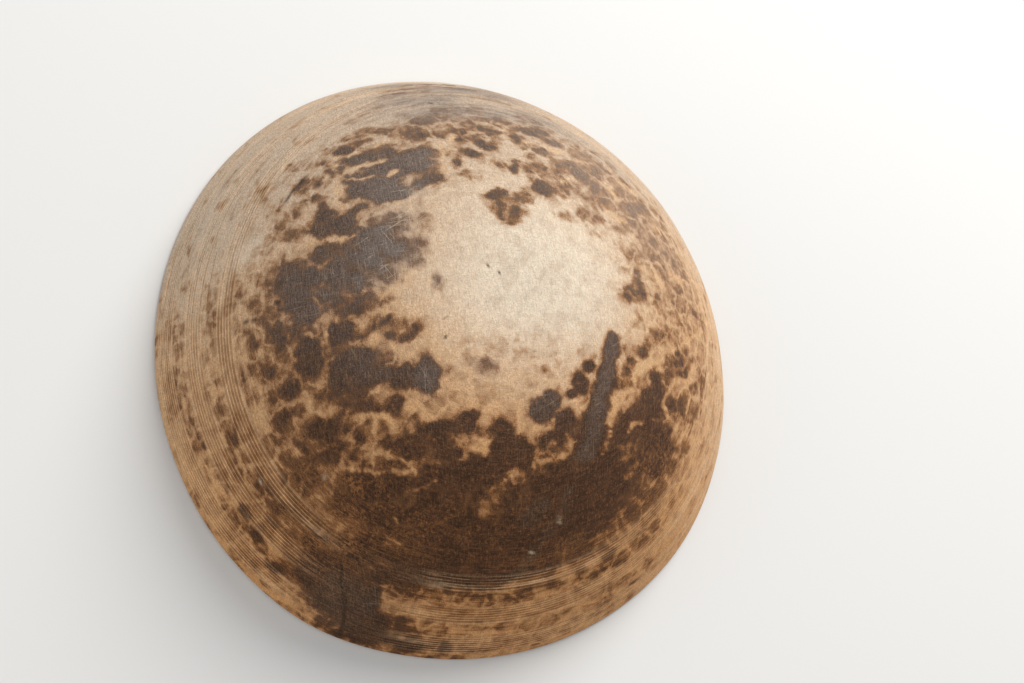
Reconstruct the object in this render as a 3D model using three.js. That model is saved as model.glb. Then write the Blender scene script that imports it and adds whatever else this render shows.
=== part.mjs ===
// A wooden bowl carved from one block, standing mouth down on its rim.
// Millimetres, +Z up. The origin is the middle of the rim plane, and the worn base is on top.

import * as THREE from "three";

// Driving dimensions.
const RIM_RADIUS = 225; // mean outer radius of the mouth
const HEIGHT = 140; // rim plane to base
const BASE_RADIUS = 32; // worn flat in the middle of the base
const RIM_THICKNESS = 9; // wall at the lip
const BASE_THICKNESS = 15; // wood under the worn flat
const FLOOR_RADIUS = 24; // flat in the middle of the hollow
const LIP_RADIUS = 2.5; // rounding of the lip's two edges
const OUTER_LEAN = THREE.MathUtils.degToRad(24); // lean of the wall at the lip, off the vertical
const INNER_LEAN = THREE.MathUtils.degToRad(25);
const OVALITY = 0.013; // the wood has shrunk across its grain, so the mouth is long in X

// Facets.
const COLUMNS = 90;
const OUTER_ROWS = 18;
const INNER_ROWS = 14;
const LIP_ROWS = 3;

// Points of a dome, from the middle of its flat crown down to its foot. Beside the flat the curve
// is a quarter-ellipse that starts level and reaches the foot leaning by the given angle.
function domeProfile({ footRadius, footHeight, crownHeight, flatRadius, lean, rows }) {
  const run = footRadius - flatRadius;
  const drop = crownHeight - footHeight;
  const slope = (Math.tan(lean) * drop) / run;
  const endCosine = slope / (1 - slope);
  const endAngle = Math.acos(endCosine);
  const radialAxis = run / Math.sin(endAngle);
  const verticalAxis = drop / (1 - endCosine);

  const points = [new THREE.Vector2(0, crownHeight)];
  for (let row = 0; row <= rows; row += 1) {
    const angle = (endAngle * row) / rows;
    const radius = flatRadius + radialAxis * Math.sin(angle);
    const height = crownHeight - verticalAxis * (1 - Math.cos(angle));
    points.push(new THREE.Vector2(radius, height));
  }
  return points;
}

// The lip, from the foot of the outer wall round to the foot of the inner wall.
// Its flat lies in the rim plane, and both of its edges are quarter-rounds.
function lipProfile(outerRadius, innerRadius) {
  const points = [];
  for (let row = 1; row <= LIP_ROWS; row += 1) {
    const angle = (Math.PI / 2) * (row / LIP_ROWS);
    const radius = outerRadius - LIP_RADIUS * (1 - Math.cos(angle));
    points.push(new THREE.Vector2(radius, LIP_RADIUS * (1 - Math.sin(angle))));
  }
  for (let row = 0; row < LIP_ROWS; row += 1) {
    const angle = (Math.PI / 2) * (row / LIP_ROWS);
    const radius = innerRadius + LIP_RADIUS * (1 - Math.sin(angle));
    points.push(new THREE.Vector2(radius, LIP_RADIUS * (1 - Math.cos(angle))));
  }
  return points;
}

// Stretches a round bowl along X and squeezes it along Y, by a cosine of twice the azimuth.
function makeOval(geometry) {
  const position = geometry.getAttribute("position");
  for (let i = 0; i < position.count; i += 1) {
    const x = position.getX(i);
    const y = position.getY(i);
    const scale = 1 + OVALITY * Math.cos(2 * Math.atan2(y, x));
    position.setXY(i, x * scale, y * scale);
  }
  geometry.computeVertexNormals();
}

function makeBowl() {
  const innerRadius = RIM_RADIUS - RIM_THICKNESS;
  const outside = domeProfile({
    footRadius: RIM_RADIUS,
    footHeight: LIP_RADIUS,
    crownHeight: HEIGHT,
    flatRadius: BASE_RADIUS,
    lean: OUTER_LEAN,
    rows: OUTER_ROWS,
  });
  const inside = domeProfile({
    footRadius: innerRadius,
    footHeight: LIP_RADIUS,
    crownHeight: HEIGHT - BASE_THICKNESS,
    flatRadius: FLOOR_RADIUS,
    lean: INNER_LEAN,
    rows: INNER_ROWS,
  });
  const profile = [...outside, ...lipProfile(RIM_RADIUS, innerRadius), ...inside.reverse()];

  const geometry = new THREE.LatheGeometry(profile.reverse(), COLUMNS);
  geometry.rotateX(Math.PI / 2);
  makeOval(geometry);

  const wood = new THREE.MeshStandardMaterial({ color: 0x7d5f45, roughness: 0.75, metalness: 0 });
  const bowl = new THREE.Mesh(geometry, wood);
  bowl.name = "bowl";
  return bowl;
}

const part = new THREE.Group();
part.add(makeBowl());

export default part;
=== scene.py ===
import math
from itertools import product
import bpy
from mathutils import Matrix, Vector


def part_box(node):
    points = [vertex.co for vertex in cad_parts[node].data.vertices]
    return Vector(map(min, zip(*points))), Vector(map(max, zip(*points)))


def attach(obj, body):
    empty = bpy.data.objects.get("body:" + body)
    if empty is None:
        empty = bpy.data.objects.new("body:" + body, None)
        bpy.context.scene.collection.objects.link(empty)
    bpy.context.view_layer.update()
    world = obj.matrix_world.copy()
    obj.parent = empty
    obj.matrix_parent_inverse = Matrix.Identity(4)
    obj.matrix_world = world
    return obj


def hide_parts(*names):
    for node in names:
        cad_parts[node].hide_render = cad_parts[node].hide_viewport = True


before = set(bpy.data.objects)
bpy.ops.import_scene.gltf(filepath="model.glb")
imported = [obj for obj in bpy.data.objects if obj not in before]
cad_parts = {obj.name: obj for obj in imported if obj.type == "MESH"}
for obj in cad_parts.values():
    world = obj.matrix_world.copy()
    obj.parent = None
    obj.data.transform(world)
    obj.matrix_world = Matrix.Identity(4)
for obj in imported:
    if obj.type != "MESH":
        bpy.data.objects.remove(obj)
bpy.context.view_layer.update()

# An old carved wooden bowl, resting mouth down on its rim so that its stained outside shows.
# Metres, +Z up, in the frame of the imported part: the rim lies on z = 0 and the bowl's axis is Z.
# The mesh is worked out in millimetres. The outside is charted by distance from the middle of the
# base: chart x runs towards +X and chart y towards +Y, both measured along the surface.

from types import SimpleNamespace

import bpy
import numpy as np
from mathutils import Matrix, Vector

MM = 0.001

# ---------------------------------------------------------------------------------- shape, in mm
HALF_X, HALF_Y, HEIGHT = (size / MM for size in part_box("bowl")[1])
RIM_RADIUS = (HALF_X + HALF_Y) / 2
OVALITY = (HALF_X - HALF_Y) / (HALF_X + HALF_Y)
RIM_THICKNESS = 9.0
BASE_THICKNESS = 15.0
BASE_RADIUS = 32.0
FLOOR_RADIUS = 24.0
LIP_RADIUS = 2.5
OUTER_LEAN = math.radians(24.0)
INNER_LEAN = math.radians(25.0)

# The rim isn't a true oval: (waves round it, mm, azimuth in degrees of a crest).
RIM_LOBES = (
    (3, 0.9, -48.0),
    (4, 0.65, 38.0),
)
# Places where the rim stands proud or falls short: (azimuth and half width in degrees, mm).
RIM_SWELLS = (
    (-35.0, 13.0, 2.3),
    (-72.0, 12.0, -0.9),
    (44.0, 14.0, 0.9),
    (95.0, 16.0, -0.8),
)
# A swell dies away from the rim as this power of the radius.
SWELL_POWER = 5
# The carving dies away this near the outer and the inner foot.
OUTER_FOOT_FADE = 5
INNER_FOOT_FADE = 8

# Bands of scored lines round the outside: distance of the first line from the base's middle,
# number of lines, azimuth in degrees where they are deepest, depth as a share, and the band's
# ripple as (waves, mm, azimuth in degrees of a crest towards the base). The first three are wide.
LINE_PITCH = 2.5
LINE_DEPTH = 0.32
LINE_STEP = 0.5
BANDS = (
    {"first": 197.9, "lines": 5, "peak": -70.0, "depth": 1.0,
     "ripple": ((1, 0.5, 0.0), (3, 1.4, 0.0))},
    {"first": 226.0, "lines": 6, "peak": -50.0, "depth": 1.0,
     "ripple": ((2, 2.0, 10.0),)},
    {"first": 259.0, "lines": 7, "peak": -60.0, "depth": 0.8,
     "ripple": ((1, 1.2, -10.0), (2, 1.2, -10.0))},
    {"first": 214.5, "lines": 1, "peak": -100.0, "depth": 0.6,
     "ripple": ((2, 1.2, 20.0),)},
    {"first": 219.6, "lines": 1, "peak": -130.0, "depth": 0.6,
     "ripple": ((3, 1.0, 40.0),)},
    {"first": 247.5, "lines": 2, "peak": -40.0, "depth": 0.5,
     "ripple": ((2, 1.2, 10.0),)},
    {"first": 188.0, "lines": 1, "peak": -60.0, "depth": 0.5,
     "ripple": ((3, 1.4, 10.0),)},
)
WIDE_BANDS = BANDS[:3]
# Opposite its deepest place a band has lost twice this share.
BAND_FADE = 0.38
BAND_EDGE = 0.5
# A ripple moves the rows at least this far beside its band, but hardly this near the foot.
LEAST_RIPPLE_REACH = 7.0
RIPPLE_FREE_FOOT = 8

# Each line's depth wavers round the bowl: (pitch on a ring of radius 1, share, seed).
LINE_WAVER = ((0.33, 1.0, 100), (0.1, 0.6, 600))
LINE_WAVER_SHARE = 0.45
DEEPEST_LINE = 1.15

# The knot breaks the bands: azimuth and half width of the gap, and the share of depth lost in it.
KNOT_GAP_CENTRE = math.radians(-32.0)
KNOT_GAP_WIDTH = math.radians(14.5)
KNOT_GAP_LOSS = 0.96

# A knot near the rim: a shallow sunken place with a radial check through it, which wanders
# sideways as (mm, mm of chart x to a radian).
KNOT_PLACE = (203.0, -128.0)
KNOT_REACH = 27.0
KNOT_DEPTH = 1.3
CHECK_START = (163.0, -129.0)
CHECK_END = (246.0, -137.0)
CHECK_WIDTH = 1.3
CHECK_DEPTH = 1.0
CHECK_WANDER = ((1.6, 9.0), (0.8, 3.7))

# Unevenness of the carved surface: (pitch in mm, height in mm, seed).
CARVING = ((85.0, 0.55, 11), (31.0, 0.2, 12), (13.0, 0.08, 13))
INNER_CARVING = ((60.0, 0.5, 21), (19.0, 0.3, 22))
LIP_WEAR = ((16.0, 0.5, 31), (6.0, 0.25, 32))

# The mesh: its columns crowd together near the knot, and its rows inside the bands.
COLUMNS = 360
KNOT_COLUMN_GAIN = 2.4
KNOT_COLUMN_REACH = 0.13
POLE_ROWS = (0.0, 0.8, 1.8, 3.2, 5.0, 7.2, 9.6, 12.3)
ROW_STEP = 2.3
LIP_ROWS = 5
INNER_ROWS = 46
INNER_ROW_SPREAD = 0.92
SECTION_POINTS = 2000

# -------------------------------------------------------------------------- stains and painted sheens, in chart mm
# Each patch is (x, y, reach along y, reach along x).
DARK_PATCHES = (
    # towards -X and -Y
    (-112, -48, 25, 12), (-115, -68, 13, 6), (-103, -36, 9, 8), (-93, -33, 7, 6),
    (-94, -77, 18, 10), (-78, -89, 8, 5), (-85, -64, 13, 7), (-103, -64, 14, 6),
    (-106, -86, 10, 4), (-93, -95, 8, 6), (-122, -76, 22, 6), (-115, -101, 8, 7),
    (-131, -66, 11, 4), (-137, -88, 14, 6), (-141, -76, 10, 4), (-112, -127, 7, 7),
    (-111, -115, 5, 6), (-70, -108, 20, 9), (-80, -112, 8, 8), (-88, -112, 5, 4),
    (-63, -96, 10, 5), (-42, -65, 19, 10), (-38, -85, 22, 16), (-32, -105, 17, 18),
    (-25, -90, 14, 10), (-48, -115, 14, 8), (-38, -142, 13, 11), (-28, -140, 14, 8),
    (-32, -128, 8, 8), (-15, -140, 10, 11), (-5, -135, 10, 6), (-12, -112, 14, 11),
    (-6, -98, 12, 7), (-8, -88, 9, 5), (-60, -76, 18, 9), (-52, -88, 14, 9), (-112, -5, 12, 4),
    (-105, -16, 5, 5),
    # towards -X and +Y
    (-75, 9, 9, 6), (-73, 27, 7, 5), (-63, 15, 12, 7), (-57, 13, 9, 5), (-122, 12, 10, 6),
    (-130, 0, 8, 6), (-138, 10, 16, 7), (-148, 5, 10, 6), (-133, 37, 9, 6), (-147, 38, 7, 6),
    (-142, 58, 12, 8), (-135, 73, 7, 8), (-118, 57, 9, 6), (-112, 45, 6, 4), (-103, 33, 5, 4),
    (-97, 27, 6, 4), (-99, 48, 11, 6), (-82, 48, 12, 8), (-80, 62, 12, 5), (-108, 85, 9, 5),
    (-98, 84, 9, 5), (-95, 56, 8, 5), (-2, 103, 11, 8), (-14, 108, 5, 6),
    # towards +X and -Y
    (0, -102, 9, 5), (22, -80, 8, 4), (84, -42, 9, 6), (12, -112, 10, 8), (8, -85, 8, 7),
    (15, -73, 12, 8), (33, -102, 21, 9), (45, -96, 14, 8), (49, -76, 14, 8), (49, -58, 8, 10),
    (42, -57, 6, 6), (42, -117, 9, 8), (52, -111, 10, 6), (60, -107, 13, 9), (63, -83, 9, 6),
    (20, -138, 10, 8), (32, -137, 11, 9), (45, -153, 8, 7), (28, -171, 7, 5), (63, -159, 7, 8),
    (76, -133, 12, 7), (85, -125, 9, 5), (85, -108, 5, 4), (92, -78, 9, 9), (83, -58, 11, 5),
    (78, -38, 8, 7), (92, -55, 11, 7), (100, -51, 8, 6), (90, -15, 9, 8), (103, -12, 15, 7),
    (112, -57, 14, 6), (109, -37, 12, 6), (115, -90, 13, 6), (113, -112, 12, 7), (125, -49, 15, 6),
    (131, -62, 11, 6), (128, -38, 12, 5), (126, -115, 15, 8), (136, -100, 19, 8),
    (146, -88, 20, 6), (141, -70, 14, 6), (155, -112, 12, 6), (140, -30, 30, 11),
    (150, -60, 24, 8), (158, -35, 40, 9), (178, -62, 30, 9), (97, -3, 5, 6), (97, -22, 6, 4),
    (110, -6, 6, 5), (118, -40, 10, 6), (108, -88, 12, 6), (118, -104, 14, 6), (130, -122, 12, 8),
    (101, -74, 12, 6), (238, -140, 8, 6), (68, -92, 10, 6), (57, -56, 6, 5), (93, -68, 7, 8),
    (126, -52, 10, 10), (139, -28, 8, 7), (142, -80, 14, 7), (192, -42, 18, 6), (196, -18, 16, 6),
    (168, -112, 12, 8), (176, -152, 14, 9), (4, -143, 5, 5), (262, -88, 16, 8), (168, -85, 16, 7),
    (118, -70, 6, 4), (112, -18, 14, 6), (130, -12, 14, 6), (182, -5, 34, 9), (186, -138, 14, 12),
    (176, -146, 12, 9), (146, -75, 16, 7), (182, -80, 22, 6), (172, -30, 20, 6), (14, -96, 6, 4),
    (182, -142, 28, 18), (205, -134, 26, 18), (226, -116, 26, 15), (240, -118, 18, 14),
    (254, -104, 18, 8), (190, -152, 9, 7), (205, -110, 8, 10), (186, -84, 28, 7),
    (148, -200, 7, 7), (126, -204, 5, 5), (126, -172, 6, 4), (153, -150, 9, 5), (175, -187, 7, 5),
    # towards +X and +Y
    (103, 21, 9, 5), (116, 120, 14, 7), (129, 12, 9, 7), (152, 60, 14, 6), (142, 48, 12, 7),
    (112, 66, 8, 6), (122, 118, 14, 6), (118, 30, 12, 8), (112, 2, 8, 5), (112, 48, 7, 5),
    (60, 113, 8, 6), (85, 122, 7, 6), (34, 76, 4, 5), (38, 75, 6, 8), (47, 72, 8, 9),
    (56, 69, 9, 9), (65, 65, 9, 9), (75, 60, 10, 10), (86, 55, 10, 12), (98, 51, 11, 12),
    (108, 52, 12, 10), (62, 44, 8, 7), (53, 54, 5, 4), (70, 36, 4, 4), (77, 15, 11, 8),
    (72, 21, 7, 6), (88, 31, 10, 7), (97, 22, 11, 5), (104, 8, 12, 5), (97, 76, 9, 7),
    (91, 87, 9, 7), (85, 97, 10, 8), (78, 107, 12, 9), (70, 119, 11, 8), (48, 146, 17, 8),
    (42, 155, 10, 6), (56, 138, 14, 6), (82, 137, 10, 9), (100, 108, 20, 9), (112, 112, 22, 11),
    (125, 118, 22, 7), (118, 60, 22, 11), (130, 45, 32, 11), (140, 68, 27, 11), (152, 30, 38, 13),
    (125, 86, 16, 11), (145, 110, 14, 5), (155, 60, 24, 7), (150, 0, 34, 16), (168, 0, 46, 12),
    (172, 30, 24, 7), (106, 44, 8, 6), (102, 72, 8, 5), (182, 6, 12, 6),
)
BROWN_PATCHES = (
    # towards -X and -Y
    (-152, -62, 14, 5), (-165, -12, 8, 10), (-15, -47, 5, 6), (-30, -63, 9, 6), (-148, -80, 10, 4),
    (-90, -42, 9, 5), (-153, -68, 14, 6), (-146, -46, 13, 7), (-142, -40, 7, 4), (-135, -35, 9, 5),
    (-157, -27, 9, 6), (-150, -22, 9, 8), (-88, -135, 9, 4), (-96, -118, 10, 4), (-77, -147, 9, 6),
    (-69, -140, 7, 5), (-67, -168, 4, 2), (-65, -156, 4, 4), (-62, -68, 13, 9), (-20, -78, 12, 5),
    (-38, -160, 9, 9), (-10, -163, 10, 9), (-8, -180, 8, 7), (-22, -176, 8, 5), (-60, -47, 7, 8),
    (-127, -108, 5, 3), (-93, -10, 8, 4), (-135, -12, 9, 6),
    # towards -X and +Y
    (-155, 15, 20, 6), (-148, 52, 14, 6), (-150, 68, 10, 6), (-108, 67, 7, 5), (-104, 17, 6, 4),
    (-80, 76, 14, 8), (-85, 93, 17, 9), (-97, 84, 12, 8), (-106, 104, 12, 8), (-125, 90, 10, 8),
    (-122, 105, 10, 7), (-62, 78, 11, 6), (-55, 105, 8, 7), (-60, 131, 14, 11), (-48, 128, 9, 6),
    (-84, 140, 14, 8), (-76, 126, 10, 6), (-33, 118, 13, 8), (-40, 150, 18, 12),
    (-30, 168, 12, 10), (-20, 140, 9, 6),
    # towards +X and -Y
    (228, -156, 10, 7), (273, -62, 16, 4), (176, -176, 9, 9), (57, -122, 10, 5), (164, -68, 14, 6),
    (176, -52, 18, 5), (168, -150, 12, 8), (190, -140, 16, 12), (24, -116, 9, 6), (26, -104, 8, 5),
    (50, -54, 6, 5), (138, -203, 6, 5), (78, -158, 12, 7), (84, -140, 10, 5), (34, -162, 6, 5),
    (48, -122, 8, 7), (55, -132, 7, 5), (10, -158, 8, 10), (5, -178, 8, 7), (25, -182, 5, 4),
    (46, -167, 7, 6), (82, -92, 5, 5), (60, -148, 6, 5), (68, -143, 8, 5), (92, -160, 10, 6),
    (100, -150, 10, 7), (107, -143, 12, 6), (108, -166, 5, 3), (92, -140, 8, 5), (72, -204, 7, 9),
    (112, -184, 8, 8), (104, -190, 7, 8), (88, -38, 8, 5), (155, -130, 12, 7), (75, -112, 12, 6),
    (120, -92, 20, 9), (95, -124, 10, 5), (100, -62, 26, 5), (120, -30, 24, 5),
    # towards +X and +Y
    (34, 112, 7, 5), (16, 170, 18, 9), (170, 72, 10, 7), (192, 86, 8, 8), (64, 92, 7, 4),
    (30, 120, 10, 6), (66, 76, 6, 4), (54, 91, 7, 4), (44, 103, 8, 5), (182, 108, 10, 5),
    (122, 6, 7, 5), (44, 80, 6, 4), (192, 6, 20, 5), (186, 10, 24, 5), (0, 130, 12, 7),
    (2, 165, 24, 12), (42, 103, 7, 6), (60, 86, 5, 5), (75, 165, 17, 14), (88, 160, 14, 9),
    (62, 176, 12, 8), (155, 95, 12, 6), (165, 100, 10, 4), (165, 60, 30, 7), (180, 60, 24, 5),
    (225, 120, 8, 4), (115, 148, 12, 6),
)
FAINT_PATCHES = (
    # towards -X and -Y
    (-30, -250, 8, 18), (-76, -150, 12, 9), (-167, -42, 6, 4), (-35, -190, 8, 6),
    (-48, -185, 7, 6), (-100, -150, 12, 7), (-133, -120, 14, 6), (-120, -160, 10, 8),
    (-75, -190, 9, 8),
    # towards -X and +Y
    (-60, 57, 8, 4), (-110, 120, 10, 7), (-95, 128, 10, 6), (-60, 160, 12, 8), (-170, 5, 20, 8),
    (-165, 60, 16, 8),
    # towards +X and -Y
    (170, -212, 14, 12), (274, -24, 14, 4), (45, -20, 10, 8), (140, -185, 9, 7),
    (165, -175, 10, 7),
    # towards +X and +Y
    (190, 40, 20, 4), (26, 130, 9, 5), (205, 133, 8, 4), (235, 25, 12, 4), (175, 128, 8, 4),
    (238, 95, 10, 6), (52, 21, 3, 4), (100, 162, 12, 8), (170, 130, 14, 6), (150, 150, 12, 7),
    (40, 190, 14, 8), (10, 190, 14, 7), (220, 60, 16, 6),
)
DARK_LEVEL = 1.0
BROWN_LEVEL = 0.60
FAINT_LEVEL = 0.34
PATCH_EDGE = 7.0
AREA_EDGE = 4.0

# Broad brown areas that the patches lie in: (x, y, reach along y, reach along x, level).
BROWN_AREAS = (
    (42, 8, 44, 20, 0.15), (70, -118, 62, 66, 0.28), (145, 5, 100, 56, 0.46),
    (125, 100, 50, 46, 0.40), (120, -110, 60, 36, 0.30), (60, 158, 44, 44, 0.50),
    (0, 158, 40, 38, 0.52), (-50, 138, 36, 36, 0.42), (-95, 95, 50, 34, 0.42),
    (-75, 135, 38, 34, 0.30), (-10, -150, 44, 48, 0.38), (-110, -75, 56, 32, 0.24),
    (155, -135, 44, 40, 0.34), (-145, 10, 66, 22, 0.38), (205, -100, 60, 30, 0.36),
    (110, -185, 26, 40, 0.16), (-60, -70, 50, 30, 0.15), (225, 20, 80, 36, 0.20),
    (160, 100, 40, 26, 0.30), (40, -165, 24, 40, 0.22), (-40, -170, 20, 40, 0.16),
)
# Areas where handling has paled the stain, in the same form, with the share lost.
PALED_AREAS = (
    (62, 178, 34, 60, 0.42), (0, 158, 38, 34, 0.26), (-85, 118, 50, 44, 0.20),
    (-155, 20, 80, 18, 0.22), (-38, -68, 26, 20, 0.10), (175, 120, 40, 26, 0.25),
    (104, 22, 16, 6, 0.30), (-60, 16, 16, 12, 0.30), (-73, 28, 9, 7, 0.22),
    (-15, -47, 10, 10, 0.2), (62, -142, 60, 26, 0.10), (10, -176, 26, 30, 0.08),
    (-68, -64, 18, 7, 0.30), (-14, -72, 20, 14, 0.30), (-48, -52, 12, 14, 0.22),
    (-5, 104, 18, 14, 0.15), (108, -190, 20, 16, 0.22), (8, -80, 16, 12, 0.30),
    (-12, -108, 18, 10, 0.20), (-75, -180, 24, 16, 0.7), (-104, 48, 14, 14, 0.38),
    (-76, 68, 14, 14, 0.25), (-92, -102, 8, 8, 0.45), (-114, -126, 14, 7, 0.35),
    (-48, -118, 30, 14, 0.14), (33, -76, 16, 6, 0.35), (58, -96, 5, 5, 0.4),
    (95, -40, 14, 6, 0.35), (256, -102, 10, 6, 0.5), (-66, -80, 12, 8, 0.40),
    (-112, -20, 14, 6, 0.4), (-40, 130, 34, 40, 0.18), (72, 136, 10, 6, 0.35),
    (-95, -172, 12, 10, 0.5), (136, -22, 22, 14, 0.18), (215, -80, 16, 10, 0.45),
    (228, 36, 30, 10, 0.4), (160, 168, 26, 26, 0.4), (-100, -30, 8, 6, 0.4),
    (-130, 10, 20, 8, 0.25), (-130, -76, 20, 14, 0.15), (42, 126, 10, 9, 0.35),
    (127, 88, 5, 8, 0.3), (-35, -182, 16, 26, 0.35),
)

# Long smears that follow the scored bands: a chain of chart points, a half width and a level.
SMEARS = (
    (((204, 66), (201, 85), (195, 98)), 3.5, 0.60),
    (((190, 112), (184, 124), (176, 134)), 6.0, 0.42),
    (((226, 84), (218, 112)), 5.0, 0.22),
    (((240, 90), (246, 104)), 4.5, 0.32),
    (((188, -96), (195, -58)), 7.0, 0.60),
    (((252, -92), (261, -54)), 8.0, 0.50),
    (((214, -8), (214, 30)), 4.5, 0.32),
    (((262, -50), (266, -20), (270, 30)), 7.0, 0.28),
    (((241, -108), (242, -78)), 6.0, 0.60),
    (((205, -90), (209, -66)), 4.0, 0.35),
    (((206, -40), (208, -20)), 4.0, 0.35),
    (((10, -262), (40, -248), (70, -240)), 8.0, 0.38),
    (((96, -218), (112, -214)), 5.0, 0.32),
    (((60, -204), (74, -196)), 4.0, 0.46),
    (((40, -212), (58, -208)), 3.5, 0.34),
    (((-50, -212), (-18, -214)), 4.5, 0.28),
    (((92, -208), (104, -203)), 4.0, 0.36),
    (((132, -214), (120, -224)), 5.0, 0.40),
    (((64, -240), (90, -234)), 4.5, 0.24),
    (((-10, -246), (24, -246)), 4.5, 0.22),
    (((112, -184), (134, -170)), 3.5, 0.40),
    (((-222, -40), (-228, 0), (-224, 36)), 5.0, 0.55),
    (((-238, -20), (-240, 20)), 4.0, 0.50),
    (((-208, -40), (-212, -8)), 3.5, 0.40),
    (((-196, 24), (-192, 56)), 4.0, 0.40),
    (((26, -196), (34, -190)), 3.0, 0.30),
)
SMEAR_EDGE = 4

# The wood is a little darker over the outer part, most of all towards one azimuth.
RING_TONE = 0.20
RING_TONE_PLACE = math.radians(-38.0)
RING_TONE_SPAN = (180, 205)

# Small faint flecks everywhere but in the base's middle: noise pitch and seed, the noise's span,
# a level, and the middle's place and reach.
FLECK_PITCH = 9.0
FLECK_SEED = 51
FLECK_SPAN = (0.25, 0.7)
FLECK_LEVEL = 0.24
FLECK_FREE_PLACE = (0, 20)
FLECK_FREE_REACH = (70, 80)

# Pale gaps that run between the patches: a chain of chart points and a half width. They come and
# go with a noise of the given pitch, seed and span.
VEINS = (
    (((62, 84), (72, 78), (82, 71), (90, 66)), 3.2),
    (((24, 182), (32, 152), (42, 127), (53, 107), (63, 91)), 3.4),
    (((52, 162), (60, 152), (66, 140), (72, 125), (80, 119)), 1.7),
    (((80, 119), (88, 124), (96, 132), (98, 146)), 1.7),
    (((86, 148), (74, 152), (66, 150)), 1.6),
    (((96, 66), (104, 66), (112, 60)), 1.4),
    (((96, 82), (90, 98)), 1.4),
    (((113, 12), (114, 24)), 2.6),
    (((-124, -20), (-112, -23), (-98, -29)), 3.2),
    (((-136, -8), (-126, -12), (-118, -16)), 2.2),
    (((-10, -84), (-2, -82)), 2.6),
    (((-108, -92), (-103, -76), (-100, -64), (-104, -58)), 1.5),
    (((-130, -100), (-129, -84), (-134, -66), (-136, -48)), 1.8),
    (((-112, -108), (-110, -96), (-114, -82), (-118, -62)), 2.0),
    (((-122, -102), (-108, -99), (-94, -99), (-84, -97)), 2.6),
    (((-58, -128), (-58, -112), (-57, -92)), 1.7),
    (((-132, 30), (-127, 46), (-128, 62), (-120, 74)), 2.0),
    (((-142, 28), (-150, 46), (-148, 30)), 1.5),
    (((-88, 62), (-86, 66), (-92, 74)), 1.6),
    (((24, -124), (10, -124), (0, -122)), 1.6),
    (((72, -112), (70, -98), (74, -88)), 2.6),
    (((98, -88), (106, -74), (104, -66)), 2.2),
    (((104, -44), (101, -30), (94, -27)), 2.6),
    (((121, -12), (118, -4)), 1.2),
    (((104, -122), (107, -104), (110, -86), (111, -72)), 1.8),
    (((138, -88), (146, -84)), 1.6),
    (((110, 84), (114, 80)), 2.4),
    (((-124, 66), (-124, 80)), 3.2),
    (((-117, 84), (-116, 96)), 2.4),
    (((-116, 122), (-104, 130), (-98, 142)), 4.5),
    (((-94, 108), (-84, 112)), 4.0),
    (((-70, 96), (-64, 104), (-62, 112)), 3.2),
    (((-66, 144), (-62, 156), (-62, 166)), 3.5),
    (((-18, 116), (-16, 132)), 4.5),
    (((-20, 150), (-18, 160), (-22, 172)), 2.8),
    (((104, 62), (110, 66)), 1.6),
    (((122, 90), (132, 84)), 2.6),
)
VEIN_STRENGTH = 0.75
VEIN_GAP_PITCH = 6.0
VEIN_GAP_SEED = 61
VEIN_GAP_SPAN = (-0.45, 0.35)

# The base's rubbed pale middle, and pale spots in the form of the brown areas; all but the first
# lie near the rim and are painted sheen.
PALE_PLACE = (-14, 30)
PALE_REACH = (75, 85)
PALE_EDGE = 3.0
PALE_AND_SHEEN_AREAS = (
    (-72, -176, 20, 10, 0.5), (70, 225, 70, 90, 0.22), (-260, 0, 60, 14, 0.6),
    (-248, 24, 24, 14, 0.5), (-110, -228, 46, 100, 0.26),
)

# Areas where the dark stain has rubbed down to grey, a painted grey sheen over the far side, a
# pale painted sheen over the stain that faces the light, and places where the stain breaks up
# into orange, all in the form of the brown areas.
WORN_AREAS = (
    (-38, -72, 26, 18, 0.9), (-20, -132, 26, 26, 0.35), (-108, -78, 26, 18, 0.3),
    (-62, -66, 16, 12, 0.8), (-88, -62, 20, 12, 0.6), (-84, -50, 8, 9, 0.8),
    (-20, -86, 14, 8, 0.7), (50, -57, 8, 12, 0.5), (-112, -42, 12, 8, 0.6), (46, -20, 16, 12, 0.5),
    (-15, -47, 10, 10, 0.7), (35, -95, 24, 14, 0.25), (206, -134, 32, 26, 0.28),
    (72, 15, 16, 14, 0.3),
)
# the painted grey sheen over the far side
PAINTED_GREY_SHEEN_AREAS = (
    (-168, 5, 60, 14, 0.9), (-195, -25, 40, 14, 0.9), (-215, 30, 52, 18, 1.0),
    (-242, -20, 36, 16, 0.7), (-168, 72, 26, 12, 0.7), (-150, 100, 18, 10, 0.4),
    (-250, 44, 24, 12, 0.3), (-125, 130, 16, 16, 0.3), (-200, 62, 20, 12, 0.5),
    (-178, -14, 14, 12, 0.5), (-230, 52, 20, 12, 0.5),
)
# the pale painted sheen over the stain that faces the light
PAINTED_SHEEN_AREAS = (
    (-85, 110, 46, 46, 0.55), (-55, 140, 40, 34, 0.5), (-20, 160, 34, 30, 0.3),
    (-125, 85, 34, 24, 0.4),
)
EMBER_AREAS = (
    (134, -140, 36, 40, 0.9), (146, 122, 24, 34, 0.8), (182, 60, 60, 12, 0.5),
    (60, 150, 20, 30, 0.5), (150, -50, 60, 18, 0.40), (100, 150, 30, 30, 0.7),
    (104, -105, 34, 26, 0.6), (0, 165, 24, 50, 0.4), (30, -160, 20, 60, 0.4),
)
# Long rubbed streaks across the dark side: a chain of chart points, a half width and a level.
WORN_STREAKS = (
    (((36, 76), (56, 69), (74, 60), (92, 54), (110, 46)), 6.5, 0.34),
    (((134, 38), (156, 25), (176, 10), (200, -8)), 3.0, 0.18),
    (((152, 4), (140, 14)), 6.0, 0.18),
)

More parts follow.
